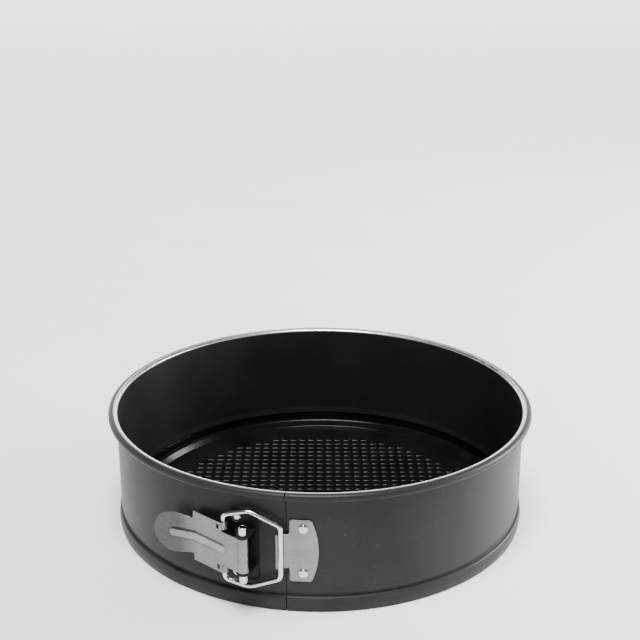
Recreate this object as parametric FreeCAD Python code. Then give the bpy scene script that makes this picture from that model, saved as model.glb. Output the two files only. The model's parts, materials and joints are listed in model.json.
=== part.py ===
import FreeCAD, Part
import math
import os

# Springform pan, in millimetres. The origin is on the pan's axis in the plane it stands on, +Z is up.
# The band's seam and its latch face -Y. Angles round the pan are counted from the seam, positive
# towards +X; a run is the same distance along the wall's outside. The lever closes towards -X and
# the catch sits on the +X side of the seam.
V = FreeCAD.Vector
AXIS = V(0, 0, 1)

# Driving sizes of the band
wall_inner_radius = 130.0
band_sheet = 0.7
pan_height = 76.0
rim_projection = 5.3
rim_curl_height = 4.9
rim_curl_flat = 0.1
rim_curl_end_gap = 1.2
skirt_height = 8.75
skirt_bulge = 0.5
skirt_bulge_bend = 4.0
skirt_corner_bend = 0.9
crease_depth = 0.8
crease_bend = 0.7
crease_rise = 4.75
seam_gap = 0.6
tongue_reach_run = 25.1
tongue_root_run = 9.1
tongue_edge_gap = 0.8
tongue_wall_gap = 0.3

# Driving sizes of the base
base_sheet = 0.8
base_skirt_gap = 0.3
base_shoulder_gap = 0.3
base_flange_height = 1.5
base_bead_width = 8.3
base_bead_crown = 2.8
base_bead_height = 5.0
base_rim_channel = 1.8
base_bend = 0.8
base_bead_bend = 1.2

# Driving sizes of the latch
latch_rise = 1.0
lever_pin_run = 21.33
lever_pin_stand_off = 10.8
lever_wall_gap = 1.3
lever_sheet = 0.8
lever_tongue_length = 13.2
lever_tongue_height = 21.5
lever_wide_height = 32.0
lever_wide_end = 36.0
lever_neck_height = 22.0
lever_tab_height = 26.0
lever_tab_length = 26.0
lever_tab_flare = 20.0
lever_tab_bend = 8.0
lever_tab_corner = 11.4
lever_tab_shoulder_bend = 2.85
lever_tab_round = 12.0
lever_neck_notch = 1.5
lever_corner = 0.8
rib_start = 10.0
rib_end = 52.0
rib_width = 7.0
rib_rise = 0.7
ear_height = 4.5
curl_set = 0.25
ear_window_width = 2.0
ear_window_height = 2.7
bail_pivot_reach = 14.5
bail_wire = 3.0
bail_ear_clearance = 4.3
bail_shoulder_reach = 14.5
bail_shoulder_rise = 3.7
bail_hook_clearance = 5.7
bail_corner_bend = 3.5
bail_shoulder_bend = 10.0
hook_leg_x = -2.6
hook_leg_stand_off = 4.0
hook_height = 21.6
hook_wire_gap = 0.35
hook_lip_drop = 0.3
hook_neck_bend = 0.8
hook_neck_start = 0.6
hook_neck_end = 1.8
hook_neck_lap = 1.0
pin_diameter = 4.6
pin_bore = 3.2
pin_length = 35.0
running_clearance = 0.05
catch_sheet = 1.0
catch_height = 39.0
catch_left = 2.0
catch_shoulder = 14.4
catch_bulge = 18.3
catch_corner = 1.0
catch_rivet_run = 9.6
catch_rivet_spacing = 28.2
bracket_sheet = 1.0
bracket_height = 44.0
bracket_start_run = 34.2
bracket_end_run = 16.0
cheek_gap = 0.4
cheek_eye_wall = 1.6
cheek_foot_start_run = 30.1
cheek_foot_end_run = 17.3
bracket_rivet_run = 28.7
bracket_rivet_spacing = 34.6
rivet_shank = 3.2
rivet_head = 5.5
rivet_head_height = 1.2
rivet_sink_head = 4.6
rivet_sink_depth = 0.45

# Construction values: how far cutters pass their work, and the bend of a corner left square
cutter_reach = 30.0
cut_margin = 1.0
square_bend = 0.01
same_point = 1e-6

# Values worked out from them
wall_outer_radius = wall_inner_radius + band_sheet
wall_middle_radius = wall_inner_radius + band_sheet / 2
rim_outer_radius = wall_outer_radius + rim_projection
rim_curl_bend = (rim_curl_height - band_sheet - rim_curl_flat) / 2
latch_height = pan_height / 2 + latch_rise
pin_radius = pin_diameter / 2
knuckle_inner = pin_radius + running_clearance
knuckle_outer = knuckle_inner + lever_sheet
wire_radius = bail_wire / 2
ear_inner = wire_radius + running_clearance
ear_outer = ear_inner + lever_sheet


def unit(vector):
    """The vector at length one."""
    return vector * (1.0 / vector.Length)


def around(angle, radius, height=0.0):
    """The point at an angle from the seam, a radius and a height."""
    turn = math.radians(angle)
    return V(radius * math.sin(turn), -radius * math.cos(turn), height)


def run_angle(run):
    """The angle in degrees that a run along the wall's outside takes up."""
    return math.degrees(run / wall_outer_radius)


def flat(r, z):
    """A profile point (radius, height) in the plane that is turned about the axis."""
    return V(r, 0, z)


def rounded_edges(corners, bends):
    """Straight edges through the corners, each inner corner rounded with its bend radius."""
    edges = []
    start = corners[0]
    for i in range(1, len(corners) - 1):
        before = unit(corners[i] - corners[i - 1])
        after = unit(corners[i + 1] - corners[i])
        turn = before.getAngle(after)
        radius = bends[i - 1]
        reach = radius * math.tan(turn / 2)
        enter = corners[i] - before * reach
        leave = corners[i] + after * reach
        middle = corners[i] + unit(after - before) * (radius / math.cos(turn / 2) - radius)
        if (enter - start).Length > same_point:
            edges.append(Part.LineSegment(start, enter).toShape())
        edges.append(Part.Arc(enter, middle, leave).toShape())
        start = leave
    if (corners[-1] - start).Length > same_point:
        edges.append(Part.LineSegment(start, corners[-1]).toShape())
    return edges


def offset_corners(corners, bends, normal, distance):
    """The corners and bends of the line that runs beside a path, at a distance to its left."""
    moved = []
    new_bends = []
    last = len(corners) - 1
    for i, corner in enumerate(corners):
        before = unit(corners[i] - corners[i - 1]) if i > 0 else None
        after = unit(corners[i + 1] - corners[i]) if i < last else None
        left_before = normal.cross(before) if before else normal.cross(after)
        left_after = normal.cross(after) if after else left_before
        moved.append(corner + (left_before + left_after) * (distance / (1 + left_before.dot(left_after))))
        if before and after:
            turn = 1 if before.cross(after).dot(normal) > 0 else -1
            new_bends.append(bends[i - 1] - turn * distance)
    return moved, new_bends


def sheet_face(corners, bends, normal, thickness):
    """The cut face of a bent sheet whose middle follows a path with rounded corners."""
    left, left_bends = offset_corners(corners, bends, normal, thickness / 2)
    right, right_bends = offset_corners(corners, bends, normal, -thickness / 2)
    edges = rounded_edges(left, left_bends)
    edges.append(Part.LineSegment(left[-1], right[-1]).toShape())
    edges += rounded_edges(right[::-1], right_bends[::-1])
    edges.append(Part.LineSegment(right[0], left[0]).toShape())
    return Part.Face(Part.Wire(Part.__sortEdges__(edges)))


def turned(face, start_angle, end_angle):
    """A profile turned about the pan's axis from one angle to another."""
    solid = face.revolve(V(0, 0, 0), AXIS, end_angle - start_angle)
    solid.rotate(V(0, 0, 0), AXIS, start_angle - 90)
    return solid


def ring_sector(inner, outer, low, high, start_angle, end_angle):
    """A piece of a round wall between two radii, two heights and two angles."""
    face = Part.Face(Part.makePolygon([
        flat(inner, low), flat(outer, low), flat(outer, high), flat(inner, high), flat(inner, low),
    ]))
    return turned(face, start_angle, end_angle)


def tube(centre, inner, outer, low, high):
    """An upright tube between two heights."""
    body = Part.makeCylinder(outer, high - low, V(centre.x, centre.y, low), AXIS)
    bore_base = V(centre.x, centre.y, low - cut_margin)
    return body.cut(Part.makeCylinder(inner, high - low + 2 * cut_margin, bore_base, AXIS))


def closed_prism(corners, bends, direction):
    """A closed outline with rounded corners, pushed along a direction."""
    middle = (corners[0] + corners[-1]) * 0.5
    wire = Part.Wire(Part.__sortEdges__(rounded_edges([middle] + corners + [middle], bends)))
    return Part.Face(wire).extrude(direction)


def rivet(angle, height, plate_outer_radius):
    """A dome-head rivet through a plate and the band, sunk flush on the band's inside."""
    outward = around(angle, 1.0)
    inside = around(angle, wall_inner_radius, height)
    grip = plate_outer_radius - wall_inner_radius
    shank = Part.makeCylinder(rivet_shank / 2, grip, inside, outward)
    sink = Part.makeCone(rivet_sink_head / 2, rivet_shank / 2, rivet_sink_depth, inside, outward)
    half_head = rivet_head / 2
    dome_radius = (half_head ** 2 + rivet_head_height ** 2) / (2 * rivet_head_height)
    seat = inside + outward * grip
    dome = Part.makeSphere(dome_radius, seat + outward * (rivet_head_height - dome_radius))
    above = Part.makeCylinder(half_head + cut_margin, rivet_head_height + cut_margin, seat, outward)
    cap = dome.common(above)
    return shank.fuse([sink, cap]).removeSplitter()


# The band: one strip in the real pan, given here as its two halves, which meet at the back.
curl_middle_top = pan_height - band_sheet / 2
curl_middle_low = pan_height - rim_curl_height + band_sheet / 2
curl_middle_outer = rim_outer_radius - band_sheet / 2
skirt_middle = wall_outer_radius + base_skirt_gap + band_sheet / 2
band_path = [
    flat(skirt_middle, 0),
    flat(skirt_middle + skirt_bulge, skirt_height / 2),
    flat(skirt_middle, skirt_height),
    flat(wall_middle_radius - crease_depth, skirt_height),
    flat(wall_middle_radius, skirt_height + crease_rise),
    flat(wall_middle_radius, curl_middle_top),
    flat(curl_middle_outer, curl_middle_top),
    flat(curl_middle_outer, curl_middle_low),
    flat(wall_middle_radius + band_sheet + rim_curl_end_gap, curl_middle_low),
]
band_bends = [
    skirt_bulge_bend, skirt_corner_bend, crease_bend, skirt_bulge_bend,
    rim_curl_bend, rim_curl_bend, rim_curl_bend,
]
band_face = sheet_face(band_path, band_bends, V(0, -1, 0), band_sheet)
half_gap_angle = run_angle(seam_gap / 2)
band_left_half = turned(band_face, -180, -half_gap_angle)
band_right_half = turned(band_face, half_gap_angle, 180)

# The left end carries a set-in tongue that lies behind the right end and closes the gap.
tongue_outer = wall_inner_radius - tongue_wall_gap
tongue_inner = tongue_outer - band_sheet
tongue_low = skirt_height + crease_rise + tongue_edge_gap
tongue_high = pan_height - rim_curl_height - tongue_edge_gap
tongue_root = -run_angle(tongue_root_run)
tongue_reach = run_angle(tongue_reach_run)
tongue_lap = ring_sector(tongue_inner, wall_middle_radius, tongue_low, tongue_high,
                         tongue_root, -half_gap_angle)
tongue_free = ring_sector(tongue_inner, tongue_outer, tongue_low, tongue_high,
                          tongue_root, tongue_reach)
band_left_half = band_left_half.fuse([tongue_lap, tongue_free]).removeSplitter()

# The base: a pressed disc with a raised bead, and a rim that stands inside the band's skirt.
base_outer_radius = skirt_middle - band_sheet / 2 - base_skirt_gap
base_rim_middle = base_outer_radius - base_sheet / 2
base_rim_top = skirt_height - band_sheet / 2 - base_shoulder_gap
bead_outer_foot = base_rim_middle - base_rim_channel
bead_inner_foot = bead_outer_foot - base_bead_width + base_rim_channel
bead_crown_outer = bead_outer_foot - base_rim_channel / 2
base_floor_middle = base_sheet / 2
flange_middle = base_flange_height + base_sheet / 2
crown_middle = base_bead_height - base_sheet / 2
base_path = [
    flat(0, base_floor_middle),
    flat(bead_inner_foot, base_floor_middle),
    flat(bead_crown_outer - base_bead_crown, crown_middle),
    flat(bead_crown_outer, crown_middle),
    flat(bead_outer_foot, flange_middle),
    flat(base_rim_middle, flange_middle),
    flat(base_rim_middle, base_rim_top),
]
base_bends = [base_bead_bend, base_bead_bend, base_bead_bend, base_bend, base_bend]
base_plate = turned(sheet_face(base_path, base_bends, V(0, -1, 0), base_sheet), 0, 360)

# The latch is laid out in plan. Along the lever: left runs from its pin towards the thumb tab,
# out points away from the pan. The lever is turned until its plate would just pass the wall.
pin_angle = -run_angle(lever_pin_run)
pin_reach = wall_outer_radius + lever_pin_stand_off
pin_centre = around(pin_angle, pin_reach)
plate_outer = knuckle_outer - curl_set
plate_middle = plate_outer - lever_sheet / 2
plate_line = wall_outer_radius + lever_wall_gap - (plate_outer - lever_sheet)
slant = math.acos(plate_line / pin_reach) - math.radians(pin_angle)
left = V(-math.cos(slant), math.sin(slant), 0)
out = V(-math.sin(slant), -math.cos(slant), 0)
bail_pivot = pin_centre + left * bail_pivot_reach + out * (plate_outer - curl_set - ear_outer)
hook_leg = V(hook_leg_x, -(wall_outer_radius + hook_leg_stand_off), 0)


def lever_point(along, height, off=0.0):
    """A point of the lever's own layout: along it from the pin, up from its middle, and out from it."""
    return pin_centre + left * along + out * off + V(0, 0, latch_height + height)


def bent_strip(offset, thickness, start):
    """The lever's bent strip in plan, at full height, beside its middle plane by an offset."""
    flare = math.radians(lever_tab_flare)
    tab_way = left * math.cos(flare) + out * math.sin(flare)
    bend_point = pin_centre + left * lever_wide_end + out * plate_middle
    path = [
        pin_centre + left * start + out * plate_middle,
        bend_point,
        bend_point + tab_way * (lever_tab_length + cutter_reach),
    ]
    moved, bends = offset_corners(path, [lever_tab_bend], AXIS, offset)
    face = sheet_face(moved, bends, AXIS, thickness)
    face.translate(V(0, 0, latch_height - lever_wide_height))
    return face.extrude(V(0, 0, 2 * lever_wide_height))


def stadium(start, end, width):
    """A cutter with round ends along the lever, from one length to another."""
    half = width / 2
    near = start + half
    far = end - half
    low_near, high_near = lever_point(near, -half, -cutter_reach), lever_point(near, half, -cutter_reach)
    low_far, high_far = lever_point(far, -half, -cutter_reach), lever_point(far, half, -cutter_reach)
    wire = Part.Wire([
        Part.LineSegment(low_near, low_far).toShape(),
        Part.Arc(low_far, lever_point(end, 0, -cutter_reach), high_far).toShape(),
        Part.LineSegment(high_far, high_near).toShape(),
        Part.Arc(high_near, lever_point(start, 0, -cutter_reach), low_near).toShape(),
    ])
    return Part.Face(wire).extrude(out * 2 * cutter_reach)


# The lever: a bent plate with a rolled knuckle round the pin and two rolled ears for the bail.
half_tongue = lever_tongue_height / 2
half_wide = lever_wide_height / 2
half_neck = lever_neck_height / 2
half_tab = lever_tab_height / 2
tab_reach = lever_tab_length * math.cos(math.radians(lever_tab_flare))
tab_end = lever_wide_end + tab_reach
outline = []
outline_bends = []
for along, half, bend in [
    (tab_end, half_tab, lever_tab_corner),
    (tab_end - lever_tab_round, half_tab, lever_tab_shoulder_bend),
    (lever_wide_end + lever_neck_notch, half_neck, lever_corner),
    (lever_wide_end, half_wide, lever_corner),
    (lever_tongue_length, half_wide, lever_corner),
    (lever_tongue_length, half_tongue, lever_corner),
    (0.0, half_tongue, square_bend),
]:
    outline.append((along, half))
    outline_bends.append(bend)
upper = [lever_point(along, half, -cutter_reach) for along, half in outline]
lower = [lever_point(along, -half, -cutter_reach) for along, half in outline]
lever_outline = closed_prism(upper + lower[::-1], outline_bends + outline_bends[::-1], out * 2 * cutter_reach)
lever = bent_strip(0, lever_sheet, 0.0).common(lever_outline)
knuckle_low = latch_height - half_tongue
knuckle_high = latch_height + half_tongue
lever = lever.fuse(tube(pin_centre, knuckle_inner, knuckle_outer, knuckle_low, knuckle_high))
for side in (-1, 1):
    ends = sorted([latch_height + side * half_wide, latch_height + side * (half_wide - ear_height)])
    lever = lever.fuse(tube(bail_pivot, ear_inner, ear_outer, ends[0], ends[1]))
rib_shape = stadium(rib_start, rib_end, rib_width)
rib = bent_strip(lever_sheet / 2 + rib_rise / 2, rib_rise, 0.0).common(rib_shape)
hollow_shape = stadium(rib_start + lever_sheet, rib_end - lever_sheet, rib_width - 2 * lever_sheet)
hollow = bent_strip(-lever_sheet / 2 + rib_rise / 2, rib_rise, 0.0).common(hollow_shape)
lever = lever.fuse(rib).cut(hollow)
lever = lever.cut(Part.makeCylinder(knuckle_inner, pan_height, pin_centre, AXIS))
for side in (-1, 1):
    middle_height = side * (half_wide - ear_height + ear_window_height / 2)
    corner = lever_point(bail_pivot_reach + ear_inner / 2, middle_height - ear_window_height / 2, ear_inner)
    window = Part.Face(Part.makePolygon([
        corner,
        corner + left * ear_window_width,
        corner + left * ear_window_width + AXIS * ear_window_height,
        corner + AXIS * ear_window_height,
        corner,
    ])).extrude(out * cutter_reach)
    lever = lever.cut(window)
lever = lever.removeSplitter()

# The bail: a wire loop whose ends turn into the lever's ears and whose far leg lies in the hook.
reach_way = unit(hook_leg - bail_pivot)
bail_reach = (hook_leg - bail_pivot).Length


def bail_point(along, height):
    """A point of the bail's plane: towards the hook from its pivot, and up from its middle."""
    return bail_pivot + reach_way * along + V(0, 0, latch_height + height)


stub_end = half_wide - ear_height + running_clearance
bail_pivot_half = half_wide + bail_ear_clearance
bail_half = [
    (0.0, stub_end), (0.0, bail_pivot_half),
    (bail_shoulder_reach, bail_pivot_half + bail_shoulder_rise),
    (bail_reach, hook_height / 2 + bail_hook_clearance),
]
bail_corners = [bail_point(a, h) for a, h in bail_half] + [bail_point(a, -h) for a, h in bail_half[::-1]]
half_bends = [bail_corner_bend, bail_shoulder_bend, bail_corner_bend]
bail_wire_path = Part.Wire(rounded_edges(bail_corners, half_bends + half_bends[::-1]))
wire_section = Part.Wire(Part.makeCircle(wire_radius, bail_corners[0], AXIS))
bail = bail_wire_path.makePipeShell([wire_section], True, False)

# The hinge pin: a rolled tube held by the bracket's two cheeks.
pin_low = latch_height - pin_length / 2
hinge_pin = tube(pin_centre, pin_bore / 2, pin_radius, pin_low, pin_low + pin_length)

# The bracket: a curved foot riveted to the band's left end, with two cheeks that hold the pin.
bracket_outer = wall_outer_radius + bracket_sheet
bracket_low = latch_height - bracket_height / 2
hinge_bracket = ring_sector(wall_outer_radius, bracket_outer, bracket_low, bracket_low + bracket_height,
                            -run_angle(bracket_start_run), -run_angle(bracket_end_run))
eye_radius = pin_radius + cheek_eye_wall
cheek_root = wall_outer_radius + bracket_sheet / 2
foot_start = around(-run_angle(cheek_foot_start_run), cheek_root)
foot_end = around(-run_angle(cheek_foot_end_run), cheek_root)
foot_middle = around(-run_angle((cheek_foot_start_run + cheek_foot_end_run) / 2), cheek_root)


def tangent_point(foot, side):
    """Where a line from a foot point touches the eye round the pin, on its left or right side."""
    way = pin_centre - foot
    swing = side * math.acos(eye_radius / way.Length)
    back = unit(way * -1)
    turned_back = V(back.x * math.cos(swing) - back.y * math.sin(swing),
                    back.x * math.sin(swing) + back.y * math.cos(swing), 0)
    return pin_centre + turned_back * eye_radius


for side in (-1, 1):
    inner_face = side * (half_tongue + cheek_gap)
    low = latch_height + min(inner_face, inner_face + side * bracket_sheet)
    eye_start = tangent_point(foot_start, 1)
    eye_end = tangent_point(foot_end, -1)
    eye_top = pin_centre + unit(pin_centre) * eye_radius
    cheek_wire = Part.Wire([
        Part.LineSegment(foot_start, eye_start).toShape(),
        Part.Arc(eye_start, eye_top, eye_end).toShape(),
        Part.LineSegment(eye_end, foot_end).toShape(),
        Part.Arc(foot_end, foot_middle, foot_start).toShape(),
    ])
    cheek = Part.Face(cheek_wire)
    cheek.translate(V(0, 0, low))
    hinge_bracket = hinge_bracket.fuse(cheek.extrude(V(0, 0, bracket_sheet)))
eye_bore = Part.makeCylinder(pin_radius, pin_length, pin_centre + V(0, 0, pin_low), AXIS)
hinge_bracket = hinge_bracket.cut(eye_bore).removeSplitter()

# The catch: a curved plate riveted to the band's right end, with a hook that opens outwards.
catch_outer = wall_outer_radius + catch_sheet
half_catch = catch_height / 2
catch_low = latch_height - half_catch
catch_high = latch_height + half_catch
bulge_middle = V(catch_bulge, 0, latch_height)
catch_sector = run_angle(2 * catch_bulge)
catch_wire = Part.Wire([
    Part.LineSegment(V(catch_left, 0, catch_low), V(catch_shoulder, 0, catch_low)).toShape(),
    Part.Arc(V(catch_shoulder, 0, catch_low), bulge_middle, V(catch_shoulder, 0, catch_high)).toShape(),
    Part.LineSegment(V(catch_shoulder, 0, catch_high), V(catch_left, 0, catch_high)).toShape(),
    Part.LineSegment(V(catch_left, 0, catch_high), V(catch_left, 0, catch_low)).toShape(),
])
catch_outline = Part.Face(catch_wire).extrude(V(0, -rim_outer_radius * 2, 0))
upright = [e for e in catch_outline.Edges if e.BoundBox.YLength > rim_outer_radius]
catch_outline = catch_outline.makeFillet(catch_corner, upright)
catch_plate = ring_sector(wall_outer_radius, catch_outer, catch_low, catch_high, 0, catch_sector)
catch_plate = catch_plate.common(catch_outline)
hook_inner = wire_radius + hook_wire_gap
hook_floor = hook_leg.y + hook_inner + catch_sheet / 2
hook_lip_x = hook_leg.x - hook_inner - catch_sheet / 2
plate_root_y = -(wall_outer_radius + catch_sheet / 2)
hook_path = [
    V(catch_left + hook_neck_lap, plate_root_y, 0),
    V(catch_left - hook_neck_start, plate_root_y, 0),
    V(catch_left - hook_neck_end, hook_floor, 0),
    V(hook_lip_x, hook_floor, 0),
    V(hook_lip_x, hook_leg.y + hook_lip_drop, 0),
]
hook_bend = hook_inner + catch_sheet / 2 - hook_lip_drop - square_bend
hook_face = sheet_face(hook_path, [hook_neck_bend, hook_neck_bend, hook_bend], AXIS, catch_sheet)
hook_face.translate(V(0, 0, latch_height - hook_height / 2))
catch_plate = catch_plate.fuse(hook_face.extrude(V(0, 0, hook_height)))
catch_plate = catch_plate.cut(Part.makeCylinder(wall_outer_radius, pan_height)).removeSplitter()

# The rivets cut their own holes in what they hold.
bracket_rivets = {}
catch_rivets = {}
bracket_rivet_angle = -run_angle(bracket_rivet_run)
catch_rivet_angle = run_angle(catch_rivet_run)
for name, side in (("upper", 1), ("lower", -1)):
    bracket_rivet_height = latch_height + side * bracket_rivet_spacing / 2
    catch_rivet_height = latch_height + side * catch_rivet_spacing / 2
    bracket_rivets[name] = rivet(bracket_rivet_angle, bracket_rivet_height, bracket_outer)
    catch_rivets[name] = rivet(catch_rivet_angle, catch_rivet_height, catch_outer)
    band_left_half = band_left_half.cut(bracket_rivets[name])
    hinge_bracket = hinge_bracket.cut(bracket_rivets[name])
    band_right_half = band_right_half.cut(catch_rivets[name])
    catch_plate = catch_plate.cut(catch_rivets[name])

nodes = {
    "base_plate": base_plate,
    "band_left_half": band_left_half,
    "band_right_half": band_right_half,
    "hinge_bracket": hinge_bracket,
    "hinge_pin": hinge_pin,
    "bracket_rivet_upper": bracket_rivets["upper"],
    "bracket_rivet_lower": bracket_rivets["lower"],
    "lever": lever,
    "bail": bail,
    "catch_plate": catch_plate,
    "catch_rivet_upper": catch_rivets["upper"],
    "catch_rivet_lower": catch_rivets["lower"],
}
os.makedirs("parts", exist_ok=True)
for name, shape in nodes.items():
    solid = shape.Solids[0] if len(shape.Solids) == 1 else shape
    print(name, "solids", len(shape.Solids), "valid", solid.isValid(), "volume", round(solid.Volume, 2))
    solid.exportStep("parts/" + name + ".step")
print("pin centre", pin_centre, "bail pivot", bail_pivot, "hook leg", hook_leg)
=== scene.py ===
import json
import math

import bpy
import numpy as np
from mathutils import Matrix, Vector


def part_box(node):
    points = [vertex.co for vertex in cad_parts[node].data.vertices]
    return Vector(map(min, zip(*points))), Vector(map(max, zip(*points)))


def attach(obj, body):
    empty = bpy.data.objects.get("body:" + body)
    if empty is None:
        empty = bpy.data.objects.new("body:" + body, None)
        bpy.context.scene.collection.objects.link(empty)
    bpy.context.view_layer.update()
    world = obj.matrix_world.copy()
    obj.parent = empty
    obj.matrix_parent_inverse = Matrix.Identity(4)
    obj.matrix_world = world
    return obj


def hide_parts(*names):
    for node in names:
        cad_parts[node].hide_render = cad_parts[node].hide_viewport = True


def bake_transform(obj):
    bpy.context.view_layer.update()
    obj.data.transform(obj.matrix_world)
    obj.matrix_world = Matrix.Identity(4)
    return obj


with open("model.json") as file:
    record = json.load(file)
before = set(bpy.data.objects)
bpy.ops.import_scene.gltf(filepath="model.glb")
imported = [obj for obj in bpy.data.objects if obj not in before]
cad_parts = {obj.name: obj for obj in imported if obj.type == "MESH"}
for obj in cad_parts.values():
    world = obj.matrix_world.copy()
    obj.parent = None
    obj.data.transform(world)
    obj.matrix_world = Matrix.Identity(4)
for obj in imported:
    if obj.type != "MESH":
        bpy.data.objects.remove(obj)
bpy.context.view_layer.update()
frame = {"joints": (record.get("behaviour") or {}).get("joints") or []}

# The camera stands in front of the latch, a little to its right, and looks down into the pan.
# The whole pan sits in the lower half of the frame, where room is left above it.
MM = 0.001
camera_turn = math.radians(8.3)
camera_drop = math.radians(19.6)
camera_reach = 789 * MM
look_height = 129.8 * MM
back = Vector((math.sin(camera_turn) * math.cos(camera_drop),
               -math.cos(camera_turn) * math.cos(camera_drop), math.sin(camera_drop)))
camera = bpy.data.objects.new("camera", bpy.data.cameras.new("camera"))
camera.data.sensor_width = 36
camera.data.lens = 69.9
camera.location = Vector((0, 0, look_height)) + back * camera_reach
camera.rotation_euler = (-back).to_track_quat("-Z", "Y").to_euler()
bpy.context.scene.collection.objects.link(camera)
bpy.context.scene.camera = camera


# ---------------------------------------------------------------------------
# Base plate. A loose disc of black non-stick steel, pressed with a waffle of small square pads,
# a raised bead near its edge and an upturned rim that stands inside the band's skirt.
def rounded_line(corners, bends, step=math.radians(9)):
    """Points along straight runs whose corners are rounded: each bend is an arc, centre plus radius
    times the unit circle, from where the run before touches it to where the run after does."""
    corners = np.asarray(corners, float)
    parts = [corners[:1]]
    for i, bend in enumerate(bends, start=1):
        before = corners[i] - corners[i - 1]
        after = corners[i + 1] - corners[i]
        before /= np.linalg.norm(before)
        after /= np.linalg.norm(after)
        turn = math.acos(np.clip(before @ after, -1, 1))
        inward = (after - before) / np.linalg.norm(after - before)
        centre = corners[i] + inward * bend / math.cos(turn / 2)
        swing = np.linspace(-turn / 2, turn / 2, max(3, int(turn / step) + 2))[:, None]
        along = (before + after) / np.linalg.norm(before + after)
        parts.append(centre + bend * (np.sin(swing) * along - np.cos(swing) * inward))
    parts.append(corners[-1:])
    return np.vstack(parts)


def strip_loop(corners, bends, thickness):
    """The closed cut outline of a bent sheet: its middle line moved half the thickness to each side,
    joined by a half-round at both ends."""
    line = rounded_line(corners, bends)
    way = np.gradient(line, axis=0)
    way /= np.linalg.norm(way, axis=1)[:, None]
    side = np.stack([-way[:, 1], way[:, 0]], -1) * thickness / 2
    turn = np.linspace(0, math.pi, 7)[1:-1, None]
    tip = line[-1] + side[-1] * np.cos(turn) + way[-1] * thickness / 2 * np.sin(turn)
    root = line[0] - side[0] * np.cos(turn) - way[0] * thickness / 2 * np.sin(turn)
    return np.vstack([line + side, tip, (line - side)[::-1], root])


def turn_profile(loop, angles):
    """A profile (radius, height) carried round the pan: x is radius times sine of the angle,
    y is minus radius times cosine, with the angle counted from the seam."""
    r, z = loop[None, :, 0], loop[None, :, 1]
    a = np.asarray(angles)[:, None]
    return np.stack([r * np.sin(a), -r * np.cos(a), z + 0 * a], -1)


def open_edges(quads):
    """The directed edges (a, b) of four-sided faces that no other face runs along as (b, a). An edge
    is known by one number, its first point times the count of points plus its second."""
    edges = np.vstack([quads[:, [k, (k + 1) % 4]] for k in range(4)])
    count = edges.max() + 1
    return edges[~np.isin(edges[:, 0] * count + edges[:, 1], edges[:, 1] * count + edges[:, 0])]


def wrap(grid, first=0, ring=False):
    """The faces of a tube through a grid of shape (stations, points round, 3), its points numbered
    from first: cells of four, and a flat cap at both ends unless it is a ring. Six times its volume
    is the sum of corner . (corner x corner) over its triangles; a negative one turns the faces."""
    index = first + np.arange(grid.shape[0] * grid.shape[1]).reshape(grid.shape[:2])
    caps = [] if ring else [index[0], index[-1][::-1]]
    if ring:
        index = np.vstack([index, index[:1]])
    a, b = index[:-1], index[1:]
    quads = np.stack([a, b, np.roll(b, -1, 1), np.roll(a, -1, 1)], -1).reshape(-1, 4)
    fans = [np.stack([np.full(len(cap) - 2, cap[0]), cap[1:-1], cap[2:]], -1) for cap in caps]
    corner = grid.reshape(-1, 3)[np.vstack([quads[:, :3], quads[:, [0, 2, 3]]] + fans) - first]
    if np.sum(corner[:, 0] * np.cross(corner[:, 1], corner[:, 2])) < 0:
        return quads[:, ::-1], [cap[::-1] for cap in caps]
    return quads, caps


def new_piece(name, points, faces, crease=38):
    """A mesh object at the origin, smooth but for edges sharper than the crease angle in degrees. It
    keeps where each point was made, for coatings on pieces that bend."""
    mesh = bpy.data.meshes.new(name)
    mesh.from_pydata(points.tolist(), [], faces)
    made = mesh.attributes.new("made_place", "FLOAT_VECTOR", "POINT")
    made.data.foreach_set("vector", np.asarray(points, np.float32).ravel())
    mesh.polygons.foreach_set("use_smooth", np.ones(len(mesh.polygons), bool))
    mesh.set_sharp_from_angle(angle=math.radians(crease))
    mesh.update()
    piece = bpy.data.objects.new(name, mesh)
    bpy.context.scene.collection.objects.link(piece)
    return piece


def add_node(tree, kind, feeds=None, **settings):
    """A shader node with its plain settings made. Feeds gives inputs by name or number, each either
    another node's output, which is linked, or a plain value."""
    made = tree.nodes.new(kind)
    for key, value in settings.items():
        setattr(made, key, value)
    for label, value in (feeds or {}).items():
        if isinstance(value, bpy.types.NodeSocket):
            tree.links.new(value, made.inputs[label])
        else:
            made.inputs[label].default_value = value
    return made


def group_of(name, inputs, outputs):
    """An empty shader node group with named input values and named outputs."""
    tree = bpy.data.node_groups.new(name, "ShaderNodeTree")
    for label, kind, value in inputs:
        socket = tree.interface.new_socket(label, in_out="INPUT", socket_type=kind)
        if value is not None:
            socket.default_value = value
    for label, kind in outputs:
        tree.interface.new_socket(label, in_out="OUTPUT", socket_type=kind)
    return tree, tree.nodes.new("NodeGroupInput"), tree.nodes.new("NodeGroupOutput")


def noise(tree, vector, scale, detail=4.0, rough=0.55):
    """A noise texture read at a scale, its factor as a socket."""
    feeds = {"Vector": vector, "Scale": scale, "Detail": detail, "Roughness": rough}
    return add_node(tree, "ShaderNodeTexNoise", feeds).outputs["Fac"]


def spread(tree, factor, low, high, out_low=0.0, out_high=1.0):
    """A value stretched from one range to another, held at its ends."""
    feeds = {"Value": factor, "From Min": low, "From Max": high, "To Min": out_low, "To Max": out_high}
    return add_node(tree, "ShaderNodeMapRange", feeds).outputs["Result"]


def blend_colours(tree, factor, first, second):
    """A colour between two, by a factor."""
    feeds = {"Factor": factor, 6: first, 7: second}
    return add_node(tree, "ShaderNodeMix", feeds, data_type="RGBA").outputs[2]


def arithmetic(tree, operation, first, second=0.0):
    """A sum, product or other result of two values, or of one for a root or an absolute value."""
    return add_node(tree, "ShaderNodeMath", {0: first, 1: second}, operation=operation).outputs[0]


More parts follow.
